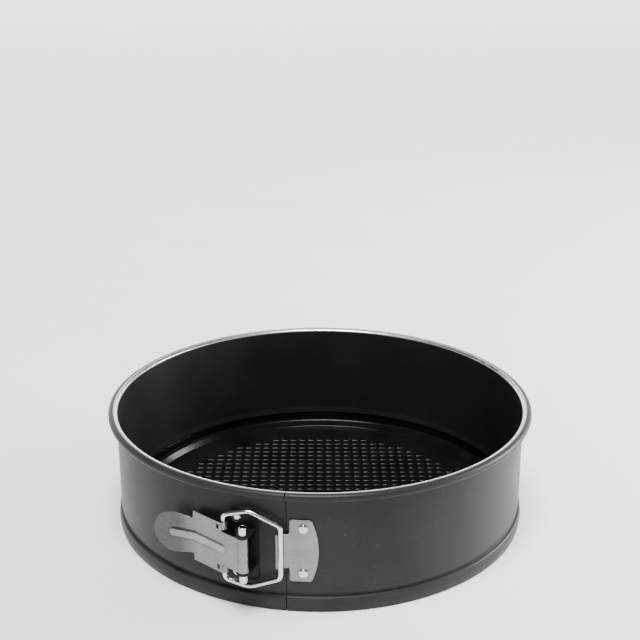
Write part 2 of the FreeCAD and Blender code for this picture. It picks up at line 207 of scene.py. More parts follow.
def coating_speckle():
    """The sprayed coating: a fine metallic fleck over a cloudy tone, orange peel in its height, and
    a gloss that wanders with the clouds."""
    tree, given, result = group_of("coating_speckle", [
        ("Vector", "NodeSocketVector", None),
        ("Base", "NodeSocketColor", (0.05, 0.05, 0.052, 1)),
        ("Fleck", "NodeSocketColor", (0.16, 0.16, 0.165, 1)),
        ("Low Roughness", "NodeSocketFloat", 0.3),
        ("High Roughness", "NodeSocketFloat", 0.42),
    ], [("Colour", "NodeSocketColor"), ("Roughness", "NodeSocketFloat"), ("Height", "NodeSocketFloat")])
    place = given.outputs["Vector"]
    clouds = noise(tree, place, 26, 3)
    peel = noise(tree, place, 900, 2)
    grains = add_node(tree, "ShaderNodeTexVoronoi", {"Vector": place, "Scale": 2600}, feature="F1")
    specks = spread(tree, grains.outputs["Distance"], 0.34, 0.1)
    picked = arithmetic(tree, "MULTIPLY", specks, spread(tree, noise(tree, place, 1500, 1), 0.5, 0.66))
    lifted = arithmetic(tree, "MULTIPLY", picked, 0.75)
    cloudy = spread(tree, clouds, 0.3, 0.7, 0.0, 0.16)
    tone = arithmetic(tree, "ADD", lifted, cloudy)
    colour = blend_colours(tree, tone, given.outputs["Base"], given.outputs["Fleck"])
    gloss = spread(tree, clouds, 0.3, 0.7, given.outputs["Low Roughness"], given.outputs["High Roughness"])
    tree.links.new(colour, result.inputs["Colour"])
    tree.links.new(gloss, result.inputs["Roughness"])
    tree.links.new(peel, result.inputs["Height"])
    return tree


def fine_wear():
    """Marks of use: thin scratches from noise stretched along three ways, kept in patches, and a
    dulling film of wiped-off residue."""
    tree, given, result = group_of("fine_wear", [
        ("Vector", "NodeSocketVector", None),
        ("Amount", "NodeSocketFloat", 0.5),
    ], [("Scratches", "NodeSocketFloat"), ("Film", "NodeSocketFloat")])
    place, amount = given.outputs["Vector"], given.outputs["Amount"]
    lines = []
    for turn in (0.35, 1.25, 2.3):
        feeds = {"Vector": place, "Rotation": (0.3, 0.2, turn), "Scale": (14, 1150, 480)}
        stretched = add_node(tree, "ShaderNodeMapping", feeds).outputs["Vector"]
        lines.append(spread(tree, noise(tree, stretched, 1.0, 1, 0.4), 0.735, 0.775))
    scratches = arithmetic(tree, "MAXIMUM", arithmetic(tree, "MAXIMUM", lines[0], lines[1]), lines[2])
    patchy = spread(tree, noise(tree, place, 19, 2), 0.42, 0.62)
    kept = arithmetic(tree, "MULTIPLY", scratches, patchy)
    residue = spread(tree, noise(tree, place, 46, 5, 0.65), 0.45, 0.75)
    tree.links.new(arithmetic(tree, "MULTIPLY", kept, amount), result.inputs["Scratches"])
    tree.links.new(arithmetic(tree, "MULTIPLY", residue, amount), result.inputs["Film"])
    return tree


speckle_group = coating_speckle()
wear_group = fine_wear()


def use_group(tree, group, vector, **values):
    """A placed group with its own values, reading a position."""
    feeds = {label.replace("_", " "): value for label, value in values.items()}
    return add_node(tree, "ShaderNodeGroup", {"Vector": vector, **feeds}, node_tree=group)


def new_material(name):
    """A material with its Principled shader and the object's own position."""
    material = bpy.data.materials.new(name)
    material.use_nodes = True
    tree = material.node_tree
    place = add_node(tree, "ShaderNodeTexCoord").outputs["Object"]
    return material, tree, tree.nodes["Principled BSDF"], place


def bump(tree, shader, height, distance, strength=1.0):
    """Height turned into a normal on the shader."""
    feeds = {"Distance": distance, "Strength": strength, "Height": height}
    tree.links.new(add_node(tree, "ShaderNodeBump", feeds).outputs["Normal"], shader.inputs["Normal"])


coating_peel = 0.012 * MM
coating_ior = 1.35


def coated_steel(name, base, fleck, low, high, wear):
    """Non-stick coated steel: speckled colour, peel in the surface, and scratches that dull it."""
    material, tree, shader, place = new_material(name)
    coat = use_group(tree, speckle_group, place, Base=base, Fleck=fleck,
                     Low_Roughness=low, High_Roughness=high)
    marks = use_group(tree, wear_group, place, Amount=wear)
    scratches = marks.outputs["Scratches"]
    worn = blend_colours(tree, arithmetic(tree, "MULTIPLY", scratches, 0.5), coat.outputs["Colour"], fleck)
    tree.links.new(worn, shader.inputs["Base Color"])
    dulled = arithmetic(tree, "MULTIPLY", marks.outputs["Film"], 0.12)
    tree.links.new(arithmetic(tree, "ADD", coat.outputs["Roughness"], dulled), shader.inputs["Roughness"])
    shader.inputs["IOR"].default_value = coating_ior
    shader.inputs["Specular IOR Level"].default_value = 0.25
    bump(tree, shader, arithmetic(tree, "SUBTRACT", coat.outputs["Height"], scratches), coating_peel, 0.5)
    return material


pan_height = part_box("band_right_half")[1].z
base_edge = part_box("base_plate")[1].x
base_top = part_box("base_plate")[1].z
base_sheet = 0.8 * MM
floor_edge = 120.6 * MM
floor_lap = 0.6 * MM
hair = 0.02 * MM
bead_width = 6.5 * MM
bead_crown_width = 0.9 * MM
bead_slope = 2.8 * MM
bead_height = 4.6 * MM
bead_bend = 1.2 * MM
rim_channel = 1.8 * MM
rim_channel_height = 1.9 * MM
rim_bend = 0.8 * MM
base_rim_middle = base_edge - base_sheet / 2
floor_middle = base_sheet / 2 + hair
bead_foot = base_rim_middle - rim_channel
bead_crown = bead_foot - bead_crown_width
base_profile = strip_loop(
    [(floor_edge - floor_lap, floor_middle), (bead_foot - bead_width, floor_middle),
     (bead_crown - bead_slope, bead_height), (bead_crown, bead_height), (bead_foot, rim_channel_height),
     (base_rim_middle, rim_channel_height), (base_rim_middle, base_top - base_sheet / 2)],
    [bead_bend] * 3 + [rim_bend] * 2, base_sheet - 2 * hair)
waffle_pitch = 6.5 * MM
waffle_turn = camera_turn
waffle_rise = 0.42 * MM
waffle_reach = 103 * MM
pad_lines = np.array([-2.35, -2.2, -1.95, 1.95, 2.2, 2.35]) * MM
pad_lift = np.array([0, 0.45, 1, 1, 0.45, 0])


def waffle_floor():
    """The floor disc as a height over a square grid: flat pads raised in square cells, with sloped
    sides, in every cell whose middle lies inside the reach. Grid lines past the edge are drawn in to
    the edge circle, and the flat underside is a fan of triangles from its middle."""
    cells = math.ceil(floor_edge / waffle_pitch) * 2 + 1
    centres = (np.arange(cells) - cells // 2) * waffle_pitch
    lines = (centres[:, None] + pad_lines[None]).ravel()
    x, y = np.meshgrid(lines, lines, indexing="ij")
    owner = np.repeat(centres, len(pad_lines))
    cell_reach = np.hypot(*np.meshgrid(owner, owner, indexing="ij"))
    raised = np.tile(pad_lift, cells)
    pad = np.minimum(*np.meshgrid(raised, raised, indexing="ij")) * (cell_reach < waffle_reach)
    reach = np.hypot(x, y)
    outside = reach > floor_edge
    pull = np.where(outside, floor_edge / np.maximum(reach, hair), 1.0)
    x, y = x * pull, y * pull
    turned_x = x * math.cos(waffle_turn) - y * math.sin(waffle_turn)
    turned_y = x * math.sin(waffle_turn) + y * math.cos(waffle_turn)
    top = np.stack([turned_x, turned_y, base_sheet + waffle_rise * pad], -1)
    index = np.arange(top.shape[0] * top.shape[1]).reshape(top.shape[:2])
    quads = np.stack([index[:-1, :-1], index[1:, :-1], index[1:, 1:], index[:-1, 1:]], -1).reshape(-1, 4)
    quads = quads[~outside.ravel()[quads].all(1)]
    rim = open_edges(quads)
    top = top.reshape(-1, 3)
    walls = np.stack([rim[:, 0], rim[:, 0] + len(top), rim[:, 1] + len(top), rim[:, 1]], -1)
    used, faces = np.unique(np.vstack([quads, walls]), return_inverse=True)
    faces = faces.reshape(-1, 4)
    points = np.vstack([np.vstack([top, top * [1, 1, 0]])[used], [[0, 0, 0]]])
    foot = faces[len(quads):, [2, 1]]
    fan = np.hstack([foot, np.full((len(foot), 1), len(points) - 1)])
    return points, faces.tolist() + fan.tolist()


floor_points, floor_faces = waffle_floor()
base_ring = turn_profile(base_profile, np.linspace(0, 2 * math.pi, 400, endpoint=False))
ring_faces, _ = wrap(base_ring, len(floor_points), ring=True)
base_plate = new_piece("waffle_base", np.vstack([floor_points, base_ring.reshape(-1, 3)]),
                       floor_faces + ring_faces.tolist(), 30)
base_plate.data.materials.append(coated_steel(
    "black_nonstick_base", (0.002, 0.002, 0.0022, 1), (0.02, 0.02, 0.021, 1), 0.14, 0.2, 0.6))
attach(base_plate, "base")
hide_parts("base_plate")


# ---------------------------------------------------------------------------
# Band. One springy strip of coated steel: its top is rolled over into a hollow rim, its foot is
# creased in and stepped out into the skirt. It is cut at the seam and bends open at its back.
band_sheet = 0.7 * MM
wall_inner = 130.0 * MM
wall_middle = wall_inner + band_sheet / 2
wall_outer = wall_inner + band_sheet
skirt_middle = base_edge + 0.3 * MM + band_sheet / 2
skirt_bulge = 0.5 * MM
skirt_top = 8.75 * MM
crease_depth = 0.8 * MM
crease_rise = 4.75 * MM
curl_top = pan_height - band_sheet / 2
curl_low = pan_height - 4.9 * MM + band_sheet / 2
curl_outer = 136.0 * MM - band_sheet / 2
curl_end = wall_middle + 1.9 * MM
curl_bend = 2.05 * MM
band_profile = strip_loop(
    [(skirt_middle, band_sheet / 2), (skirt_middle + skirt_bulge, skirt_top / 2), (skirt_middle, skirt_top),
     (wall_middle - crease_depth, skirt_top), (wall_middle, skirt_top + crease_rise),
     (wall_middle, curl_top), (curl_outer, curl_top), (curl_outer, curl_low), (curl_end, curl_low)],
    [4 * MM, 0.9 * MM, 0.7 * MM, 4 * MM, curl_bend, curl_bend, curl_bend], band_sheet)
half_seam = 0.3 * MM / wall_outer
back_start = math.radians(140)
tongue_low = 14.7 * MM
tongue_high = 69.9 * MM
tongue_reach = 25.1 * MM / wall_outer
tongue_root = -9.1 * MM / wall_outer
tongue_middle = wall_inner - 0.3 * MM - band_sheet / 2
tongue_profile = strip_loop([(tongue_middle, tongue_low), (tongue_middle, tongue_high)], [], band_sheet)
lap_profile = strip_loop([(wall_inner - hair, tongue_low), (wall_inner - hair, tongue_high)], [], 0.6 * MM)


def skin(name, grids, crease=38, pierce=None):
    """One mesh of closed tubes, one for each grid of shape (stations, points round, 3). Pierce takes
    the first tube's cells and gives them back with its openings cut."""
    faces, first = [], 0
    for grid in grids:
        quads, caps = wrap(grid, first)
        if pierce and not first:
            quads = pierce(quads)
        faces += quads.tolist() + [cap.tolist() for cap in caps]
        first += grid.shape[0] * grid.shape[1]
    return new_piece(name, np.vstack([grid.reshape(-1, 3) for grid in grids]), faces, crease)


def sweep(start, end, step=math.radians(0.75)):
    """Evenly spaced angles from one to another."""
    return np.linspace(start, end, max(2, int(abs(end - start) / step) + 1))


front_left = skin("band_left", [
    turn_profile(band_profile, sweep(-back_start, -half_seam)),
    turn_profile(tongue_profile, sweep(tongue_root, tongue_reach)),
    turn_profile(lap_profile, sweep(tongue_root + 0.002, -half_seam - 0.0002)),
])
front_right = skin("band_right", [turn_profile(band_profile, sweep(half_seam, back_start))])
band_back = skin("band_back", [turn_profile(band_profile, sweep(back_start, 2 * math.pi - back_start))])


def band_coating():
    """Charcoal flecked coating outside and a darker, slightly glossier copy of it inside, painted shade for
    the pan's shaded inside, parted at the middle of the sheet, with a painted highlight of bright metal along
    the top of the rolled rim's inner side. It reads where each point was made, so that it stays in place
    where the band bends; reach is the distance from the pan's axis."""
    material, tree, shader, _ = new_material("charcoal_nonstick_band")
    place = add_node(tree, "ShaderNodeAttribute", attribute_name="made_place").outputs["Vector"]
    flat = add_node(tree, "ShaderNodeVectorMath", {0: place, 1: (1, 1, 0)}, operation="MULTIPLY")
    reach = add_node(tree, "ShaderNodeVectorMath", {0: flat.outputs["Vector"]}, operation="LENGTH")
    reach = reach.outputs["Value"]
    height = add_node(tree, "ShaderNodeSeparateXYZ", {0: place}).outputs["Z"]
    outside = spread(tree, reach, wall_middle - 0.05 * MM, wall_middle + 0.05 * MM)
    # The inside gets a darker, slightly glossier copy of the coating: painted shade for the pan's shaded
    # inside.
    outer = use_group(tree, speckle_group, place, Base=(0.014, 0.014, 0.0145, 1),
                      Fleck=(0.062, 0.062, 0.064, 1), Low_Roughness=0.36, High_Roughness=0.44)
    inner = use_group(tree, speckle_group, place, Base=(0.010, 0.010, 0.0104, 1),
                      Fleck=(0.034, 0.034, 0.035, 1), Low_Roughness=0.34, High_Roughness=0.42)
    marks = use_group(tree, wear_group, place, Amount=0.22)
    scratches = marks.outputs["Scratches"]
    # Painted highlight: bright, glossier metal along the top of the rolled rim's inner side brightens the
    # rim's highlight line; crown carries this mask.
    rim_highlight_band = arithmetic(tree, "MULTIPLY", spread(tree, height, pan_height - 1.6 * MM, pan_height - 1.0 * MM),
                     spread(tree, reach, wall_middle + 2.7 * MM, wall_middle + 2.1 * MM))
    crown = arithmetic(tree, "MULTIPLY", rim_highlight_band, spread(tree, noise(tree, place, 160, 4), 0.3, 0.5, 0.7, 1.0))
    colour = blend_colours(tree, outside, inner.outputs["Colour"], outer.outputs["Colour"])
    with_painted_rim_highlight = blend_colours(tree, crown, colour, (0.62, 0.62, 0.63, 1))
    scratched = blend_colours(tree, arithmetic(tree, "MULTIPLY", scratches, 0.35), with_painted_rim_highlight,
                              (0.2, 0.2, 0.205, 1))
    tree.links.new(scratched, shader.inputs["Base Color"])
    gloss = add_node(tree, "ShaderNodeMix", {"Factor": outside, 2: inner.outputs["Roughness"],
                                             3: outer.outputs["Roughness"]}, data_type="FLOAT").outputs[0]
    with_painted_highlight = arithmetic(tree, "SUBTRACT", gloss, arithmetic(tree, "MULTIPLY", crown, 0.12))
    filmed = arithmetic(tree, "ADD", with_painted_highlight, arithmetic(tree, "MULTIPLY", marks.outputs["Film"], 0.1))
    tree.links.new(filmed, shader.inputs["Roughness"])
    tree.links.new(crown, shader.inputs["Metallic"])
    shader.inputs["IOR"].default_value = coating_ior
    shader.inputs["Specular IOR Level"].default_value = 0.27
    bump(tree, shader, arithmetic(tree, "SUBTRACT", outer.outputs["Height"], scratches), coating_peel, 0.5)
    return material


charcoal = band_coating()
for piece in (front_left, front_right, band_back):
    piece.data.materials.append(charcoal)
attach(front_left, "band_left")
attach(front_right, "band_right")
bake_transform(band_back)
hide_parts("band_left_half")
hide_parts("band_right_half")


# ---------------------------------------------------------------------------
# Lever. Cut from plated sheet: a tongue rolled into the knuckle, square shoulders with two small
# ears curled in for the bail, and a round thumb tab bent away, stiffened by one pressed rib.
joint_named = {joint["name"]: joint for joint in frame["joints"]}
pin_centre = np.array(joint_named["lever_swing"]["pos_m"])
bail_pivot = np.array(joint_named["bail_swing"]["pos_m"])
latch_height = pin_centre[2]
edge_round = 0.22 * MM
edge_points = 5


def bent_plate(path, half, stations, thickness, crown=None):
    """A bent plate with rounded edges: at each station along its plan path, a thin closed outline
    across the plate, from minus to plus its half-height, moved out by the crown where it is pressed.
    path(s) gives plan points, half(s) the half-height, crown(s, z) the pressed height."""
    s = np.asarray(stations)
    line = path(s)
    ahead, behind = path(s + 1e-6), path(s - 1e-6)
    way = (ahead - behind) / np.linalg.norm(ahead - behind, axis=1)[:, None]
    outward = np.stack([way[:, 1], -way[:, 0]], -1)
    outward *= np.sign(np.sum(outward * line, axis=1))[:, None]
    across = np.concatenate([np.linspace(-1, -0.5, 9)[:-1], np.linspace(-0.5, 0.5, 33),
                             np.linspace(0.5, 1, 9)[1:]])
    edge = min(edge_round, thickness / 3)
    inner_half = np.maximum(half(s), edge * 1.01)[:, None] - edge
    core = np.minimum(4.2 * MM, inner_half * 0.6)
    beyond = np.clip(np.abs(across) * 2 - 1, 0, 1) * (inner_half - core)
    flat_z = np.sign(across) * (np.minimum(np.abs(across) * 2, 1) * core + beyond)
    turn = np.linspace(math.pi / 2, -math.pi / 2, edge_points + 2)[None, 1:-1]
    round_z = inner_half + edge * np.cos(turn)
    round_n = thickness / 2 * np.sin(turn) + 0 * inner_half
    z = np.hstack([flat_z, round_z, flat_z[:, ::-1], -round_z[:, ::-1]])
    n = np.hstack([thickness / 2 + 0 * flat_z, round_n, -thickness / 2 + 0 * flat_z, -round_n])
    if crown is not None:
        n = n + crown(s[:, None], z)
    place = line[:, None] + outward[:, None] * n[..., None]
    return np.dstack([place, latch_height + z])


def plan_route(corners, bends):
    """A plan path by its length: straight runs with rounded corners, read by distance along it."""
    line = rounded_line(corners, bends, math.radians(3))
    run = np.concatenate([[0], np.cumsum(np.linalg.norm(np.diff(line, axis=0), axis=1))])
    first = (line[1] - line[0]) / (run[1] - run[0])
    last = (line[-1] - line[-2]) / (run[-1] - run[-2])

    def at(s):
        """The point at a length, run on straight past both ends."""
        s = np.asarray(s, float)
        point = np.stack([np.interp(s, run, line[:, 0]), np.interp(s, run, line[:, 1])], -1)
        point += np.minimum(s, 0)[..., None] * first
        return point + np.maximum(s - run[-1], 0)[..., None] * last

    return at, run[-1]


def rolled_sheet(centre, inner, outer, low, high, start, end):
    """A curl of sheet round a pin: a ring cut open between two angles, pushed from one height to
    another, its four long edges softened by drawing the last stations in."""
    turn = np.linspace(start, end, 44)
    soft = 0.12 * MM
    loops = []
    for height, draw in ((low, soft), (low + soft, 0), (high - soft, 0), (high, soft)):
        out_line = (outer - draw) * np.stack([np.cos(turn), np.sin(turn)], -1)
        in_line = (inner + draw) * np.stack([np.cos(turn), np.sin(turn)], -1)[::-1]
        loop = np.vstack([out_line, in_line]) + centre[:2]
        loops.append(np.hstack([loop, np.full((len(loop), 1), height)]))
    return np.stack(loops)


lever_sheet = 0.8 * MM
lever_slant = math.radians(32.71)
left_way = np.array([-math.cos(lever_slant), math.sin(lever_slant)])
out_way = np.array([-math.sin(lever_slant), -math.cos(lever_slant)])
out_angle = math.atan2(out_way[1], out_way[0])
knuckle_inner = 2.35 * MM
knuckle_outer = knuckle_inner + lever_sheet
knuckle_lap = 0.6 * MM
knuckle_start = out_angle - math.radians(20)
knuckle_end = out_angle + math.radians(290)
curl_set = 0.25 * MM
plate_middle = knuckle_outer - curl_set - lever_sheet / 2
shoulder_start = 13.2 * MM
shoulder_end = 36.0 * MM
tongue_half = 10.75 * MM
shoulder_half = 16.0 * MM
neck_half = 11.0 * MM
neck_notch = 1.6 * MM
tab_half = 13.0 * MM
tab_length = 26.0 * MM
tab_bend = 8 * MM
tab_flare = math.radians(20)
tab_way = left_way * math.cos(tab_flare) + out_way * math.sin(tab_flare)
lever_start = pin_centre[:2] + out_way * plate_middle + left_way * knuckle_lap
lever_bend = pin_centre[:2] + out_way * plate_middle + left_way * shoulder_end
lever_tip = lever_bend + tab_way * tab_length
lever_route, lever_length = plan_route([lever_start, lever_bend, lever_tip], [tab_bend])
tab_centre = lever_length - tab_half


def lever_half(s):
    """Half the lever's height along it: the tongue, a step to the shoulders, a step in to the neck
    through a small round notch, then the tab swelling to its half and closing as a circle."""
    half = np.where(s < shoulder_start, tongue_half, shoulder_half)
    swell = np.clip((s - shoulder_end) / (tab_centre - shoulder_end), 0, 1) ** 0.8
    near = np.clip((s - shoulder_end) / neck_notch, 0, 1)
    fillet = neck_notch * (1 - np.sqrt(np.clip(1 - (1 - near) ** 2, 0, 1)))
    half = np.where(s > shoulder_end, neck_half + (tab_half - neck_half) * swell + fillet, half)
    end = np.sqrt(np.clip(1 - ((s - tab_centre) / tab_half) ** 2, 0, 1)) * tab_half
    return np.where(s > tab_centre, end, half)


rib_start = 10.5 * MM
rib_end = 52 * MM
rib_half = 3.5 * MM
rib_rise = 0.75 * MM


def rib_crown(s, z):
    """The pressed rib: a flat-topped ridge whose sides are the smooth step 3t^2 - 2t^3 of the distance
    in from its outline, a long shape with round ends along the lever's middle."""
    gap = np.maximum(np.maximum(rib_start + rib_half - s, s - (rib_end - rib_half)), 0)
    inward = np.clip((1 - np.hypot(gap, z) / rib_half) / 0.5, 0, 1)
    return rib_rise * inward ** 2 * (3 - 2 * inward)


close_step = 0.05 * MM
window_start = 15.3 * MM
window_end = 17.3 * MM
lever_stations = np.concatenate([
    np.linspace(0, rib_start - 0.6 * MM, 6),
    np.linspace(rib_start - 0.3 * MM, shoulder_start - close_step, 10),
    np.linspace(shoulder_start + close_step, window_start, 8), [window_end],
    np.linspace(18 * MM, shoulder_end - 3 * MM, 12),
    np.linspace(shoulder_end - 2.6 * MM, shoulder_end - close_step, 6),
    np.linspace(shoulder_end + close_step, shoulder_end + neck_notch, 8),
    np.linspace(shoulder_end + 2.2 * MM, tab_centre, 18)[:-1],
    tab_centre + tab_half * np.sin(np.linspace(0, math.pi / 2, 26)) * 0.9995,
])
window_station = int(np.argmin(np.abs(lever_stations - window_start)))
window_columns = (1, 45)
window_cells = 2
lever_plate = bent_plate(lever_route, lever_half, lever_stations, lever_sheet, rib_crown)


def pierce_windows(quads):
    """The two small windows beside the ears: the cells between two stations and two columns go from
    both faces, and each directed edge (a, b) left open round a hole gets the wall (a, b, b', a'),
    where the dash is the same column on the far face."""
    stations, columns = lever_plate.shape[:2]
    last_far = columns - 1 - edge_points
    cells = quads.reshape(stations - 1, columns, 4)
    keep = np.ones(cells.shape[:2], bool)
    walls = []
    for low in window_columns:
        high = low + window_cells
        rim = open_edges(cells[window_station, low:high])
        far = rim - 2 * (rim % columns) + last_far
        walls.append(np.stack([rim[:, 0], rim[:, 1], far[:, 1], far[:, 0]], -1))
        keep[window_station, low:high] = False
        keep[window_station, last_far - high:last_far - low] = False
    return np.vstack([cells[keep]] + walls)


ear_inner = 1.55 * MM
ear_outer = ear_inner + lever_sheet
ear_height = 4.5 * MM
ear_start = out_angle - math.radians(55)
ear_end = out_angle + math.radians(262)
lever_parts = [lever_plate, rolled_sheet(pin_centre, knuckle_inner, knuckle_outer, latch_height - tongue_half,
                                         latch_height + tongue_half, knuckle_start, knuckle_end)]
for low in (-shoulder_half, shoulder_half - ear_height):
    lever_parts.append(rolled_sheet(bail_pivot, ear_inner, ear_outer, latch_height + low,
                                    latch_height + low + ear_height, ear_start, ear_end))
lever = skin("lever_plate", lever_parts, 40, pierce_windows)


def plated_metal(name, colour, dark, low, high, lines, stretch, bump_reach):
    """Plated steel: stretched noise gives the faint lines of its rolling, broad noise a patchy tone
    and gloss, and a film dulls it where fingers wipe it."""
    material, tree, shader, place = new_material(name)
    mapping = add_node(tree, "ShaderNodeMapping", {"Vector": place, "Scale": stretch})
    rolled = noise(tree, mapping.outputs["Vector"], 1.0, 3, 0.6)
    patches = noise(tree, place, 90, 4)
    marks = use_group(tree, wear_group, place, Amount=0.8)
    tone = arithmetic(tree, "ADD", arithmetic(tree, "MULTIPLY", rolled, lines),
                      arithmetic(tree, "MULTIPLY", patches, 0.35))
    tree.links.new(blend_colours(tree, spread(tree, tone, 0.1, 0.75), colour, dark),
                   shader.inputs["Base Color"])
    gloss = spread(tree, patches, 0.3, 0.7, low, high)
    filmed = arithmetic(tree, "ADD", gloss, arithmetic(tree, "MULTIPLY", marks.outputs["Film"], 0.12))
    tree.links.new(filmed, shader.inputs["Roughness"])
    shader.inputs["Metallic"].default_value = 1.0
    grooves = arithmetic(tree, "MULTIPLY", rolled, 0.5)
    carved = arithmetic(tree, "SUBTRACT", grooves, marks.outputs["Scratches"])
    bump(tree, shader, carved, bump_reach, 0.6)
    return material


plated = plated_metal("plated_steel_sheet", (0.28, 0.283, 0.287, 1), (0.13, 0.131, 0.134, 1), 0.24, 0.34, 0.5,
                      (60, 60, 2600), 0.01 * MM)


def lever_steel_painted_light():
    """The lever's plating with painted light: painted shade that darkens it towards the thumb tab, which is
    bent away from the light, painted shade in the two lines where the rib and the knuckle rise, and a painted
    highlight on the rib's top. Along is the distance from the pin, up the height from its middle, and away
    the distance from the rib's middle line."""
    material = plated.copy()
    material.name = "lever_steel_painted_shade_and_highlight"
    tree = material.node_tree
    shader = tree.nodes["Principled BSDF"]
    place = add_node(tree, "ShaderNodeTexCoord").outputs["Object"]
    shift = add_node(tree, "ShaderNodeVectorMath", {0: place, 1: pin_centre}, operation="SUBTRACT")
    shift = shift.outputs["Vector"]
    run = add_node(tree, "ShaderNodeVectorMath", {0: shift, 1: (left_way[0], left_way[1], 0)},
                   operation="DOT_PRODUCT")
    along = run.outputs["Value"]
    up = add_node(tree, "ShaderNodeSeparateXYZ", {0: shift}).outputs["Z"]
    off_middle = arithmetic(tree, "ABSOLUTE", arithmetic(tree, "SUBTRACT", along, (rib_start + rib_end) / 2))
    beyond = arithmetic(tree, "SUBTRACT", off_middle, (rib_end - rib_start) / 2 - rib_half)
    gap = arithmetic(tree, "MAXIMUM", beyond, 0.0)
    away = arithmetic(tree, "SQRT", arithmetic(tree, "ADD", arithmetic(tree, "MULTIPLY", gap, gap),
                                               arithmetic(tree, "MULTIPLY", up, up)))
    # Painted shade: dark lines at the rib's foot and where the knuckle rises stand in for the shade in these
    # creases.
    rib_foot = arithmetic(tree, "ABSOLUTE", arithmetic(tree, "SUBTRACT", away, rib_half - 0.2 * MM))
    rib_foot_shade = spread(tree, rib_foot, 0.45 * MM, 0.1 * MM)
    knuckle_foot = arithmetic(tree, "ABSOLUTE", arithmetic(tree, "SUBTRACT", along, 1.35 * MM))
    knuckle_foot_shade = spread(tree, knuckle_foot, 0.35 * MM, 0.12 * MM)
    painted_shade_variation = noise(tree, place, 420, 3)
    crease_shade_lines = arithmetic(tree, "MAXIMUM", arithmetic(tree, "MULTIPLY", rib_foot_shade, 0.6), knuckle_foot_shade)
    lines = arithmetic(tree, "MULTIPLY", crease_shade_lines, spread(tree, painted_shade_variation, 0.3, 0.6, 0.45, 0.8))
    # Painted shade: the plating darkens towards the thumb tab, which is bent away from the light.
    dulled = arithmetic(tree, "MULTIPLY", spread(tree, along, 33 * MM, 45 * MM),
                        spread(tree, painted_shade_variation, 0.3, 0.7, 0.6, 0.72))
    # Painted highlight: the rib's top is lightened.
    rib_top_highlight = spread(tree, away, rib_half - 1.0 * MM, rib_half - 1.6 * MM, 0.0, 0.22)
    plating = shader.inputs["Base Color"].links[0].from_socket
    with_painted_tab_shade = blend_colours(tree, dulled, plating, (0.03, 0.03, 0.031, 1))
    with_painted_highlight = blend_colours(tree, rib_top_highlight, with_painted_tab_shade, (0.6, 0.6, 0.61, 1))
    with_painted_crease_shade = blend_colours(tree, lines, with_painted_highlight, (0.02, 0.02, 0.02, 1))
    tree.links.new(with_painted_crease_shade, shader.inputs["Base Color"])
    return material


lever.data.materials.append(lever_steel_painted_light())
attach(lever, "lever")
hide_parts("lever")


# ---------------------------------------------------------------------------
# Bail. One length of bright wire bent into a six-sided loop, its two ends turned in and sprung
# into the lever's ears; the far leg lies in the catch plate's hook.
wire_radius = 1.5 * MM
hook_leg = np.array([-2.6 * MM, -(wall_outer + 4.0 * MM)])
bail_reach = np.linalg.norm(hook_leg - bail_pivot[:2])
reach_way = (hook_leg - bail_pivot[:2]) / bail_reach
stub_half = shoulder_half - ear_height + 0.25 * MM
ear_side_half = 20.3 * MM
bail_peak_reach = 14.5 * MM
bail_peak_half = 24.0 * MM
leg_half = 16.5 * MM
corner_bend = 3.5 * MM
peak_bend = 10 * MM
bail_corners = np.array([(0, stub_half), (0, ear_side_half), (bail_peak_reach, bail_peak_half),
                         (bail_reach, leg_half)])
bail_corners = np.vstack([bail_corners, bail_corners[::-1] * [1, -1]])
bail_bends = [corner_bend, peak_bend, corner_bend]
bail_line = rounded_line(bail_corners, bail_bends + bail_bends[::-1], math.radians(5))


def wire_skin(line, radius, axis_u, axis_v, origin):
    """A round wire along a flat line: circles across it, drawn in to a rounded tip at both ends."""
    way = np.gradient(line, axis=0)
    way /= np.linalg.norm(way, axis=1)[:, None]
    tip = np.array([0.02, 0.35, 0.7, 0.93])
    ahead = np.sqrt(1 - tip ** 2)
    start = line[0] + way[0] * (1 - ahead)[:, None] * radius * 0.6
    end = line[-1] - way[-1] * (1 - ahead)[::-1, None] * radius * 0.6
    full = np.vstack([start, line[1:-1], end])
    ways = np.vstack([np.tile(way[0], (len(tip), 1)), way[1:-1], np.tile(way[-1], (len(tip), 1))])
    size = np.concatenate([tip, np.ones(len(line) - 2), tip[::-1]])[:, None, None] * radius
    turn = np.linspace(0, 2 * math.pi, 24, endpoint=False)[None, :, None]
    side = np.stack([-ways[:, 1], ways[:, 0]], -1)
    centre = origin + full[:, :1] * axis_u + full[:, 1:] * axis_v
    across = side[:, :1] * axis_u + side[:, 1:] * axis_v
    return centre[:, None] + size * (np.cos(turn) * across[:, None] + np.sin(turn) * np.cross(axis_u, axis_v))


bail = skin("bail_wire", [wire_skin(bail_line, wire_radius, np.append(reach_way, 0), np.array([0, 0, 1.0]),
                                    np.append(bail_pivot[:2], latch_height))], 60)
bright = plated_metal("bright_steel_wire", (0.74, 0.74, 0.75, 1), (0.42, 0.42, 0.43, 1), 0.08, 0.15, 0.3,
                      (900, 900, 900), 0.004 * MM)
bail.data.materials.append(bright)
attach(bail, "bail")
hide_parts("bail")


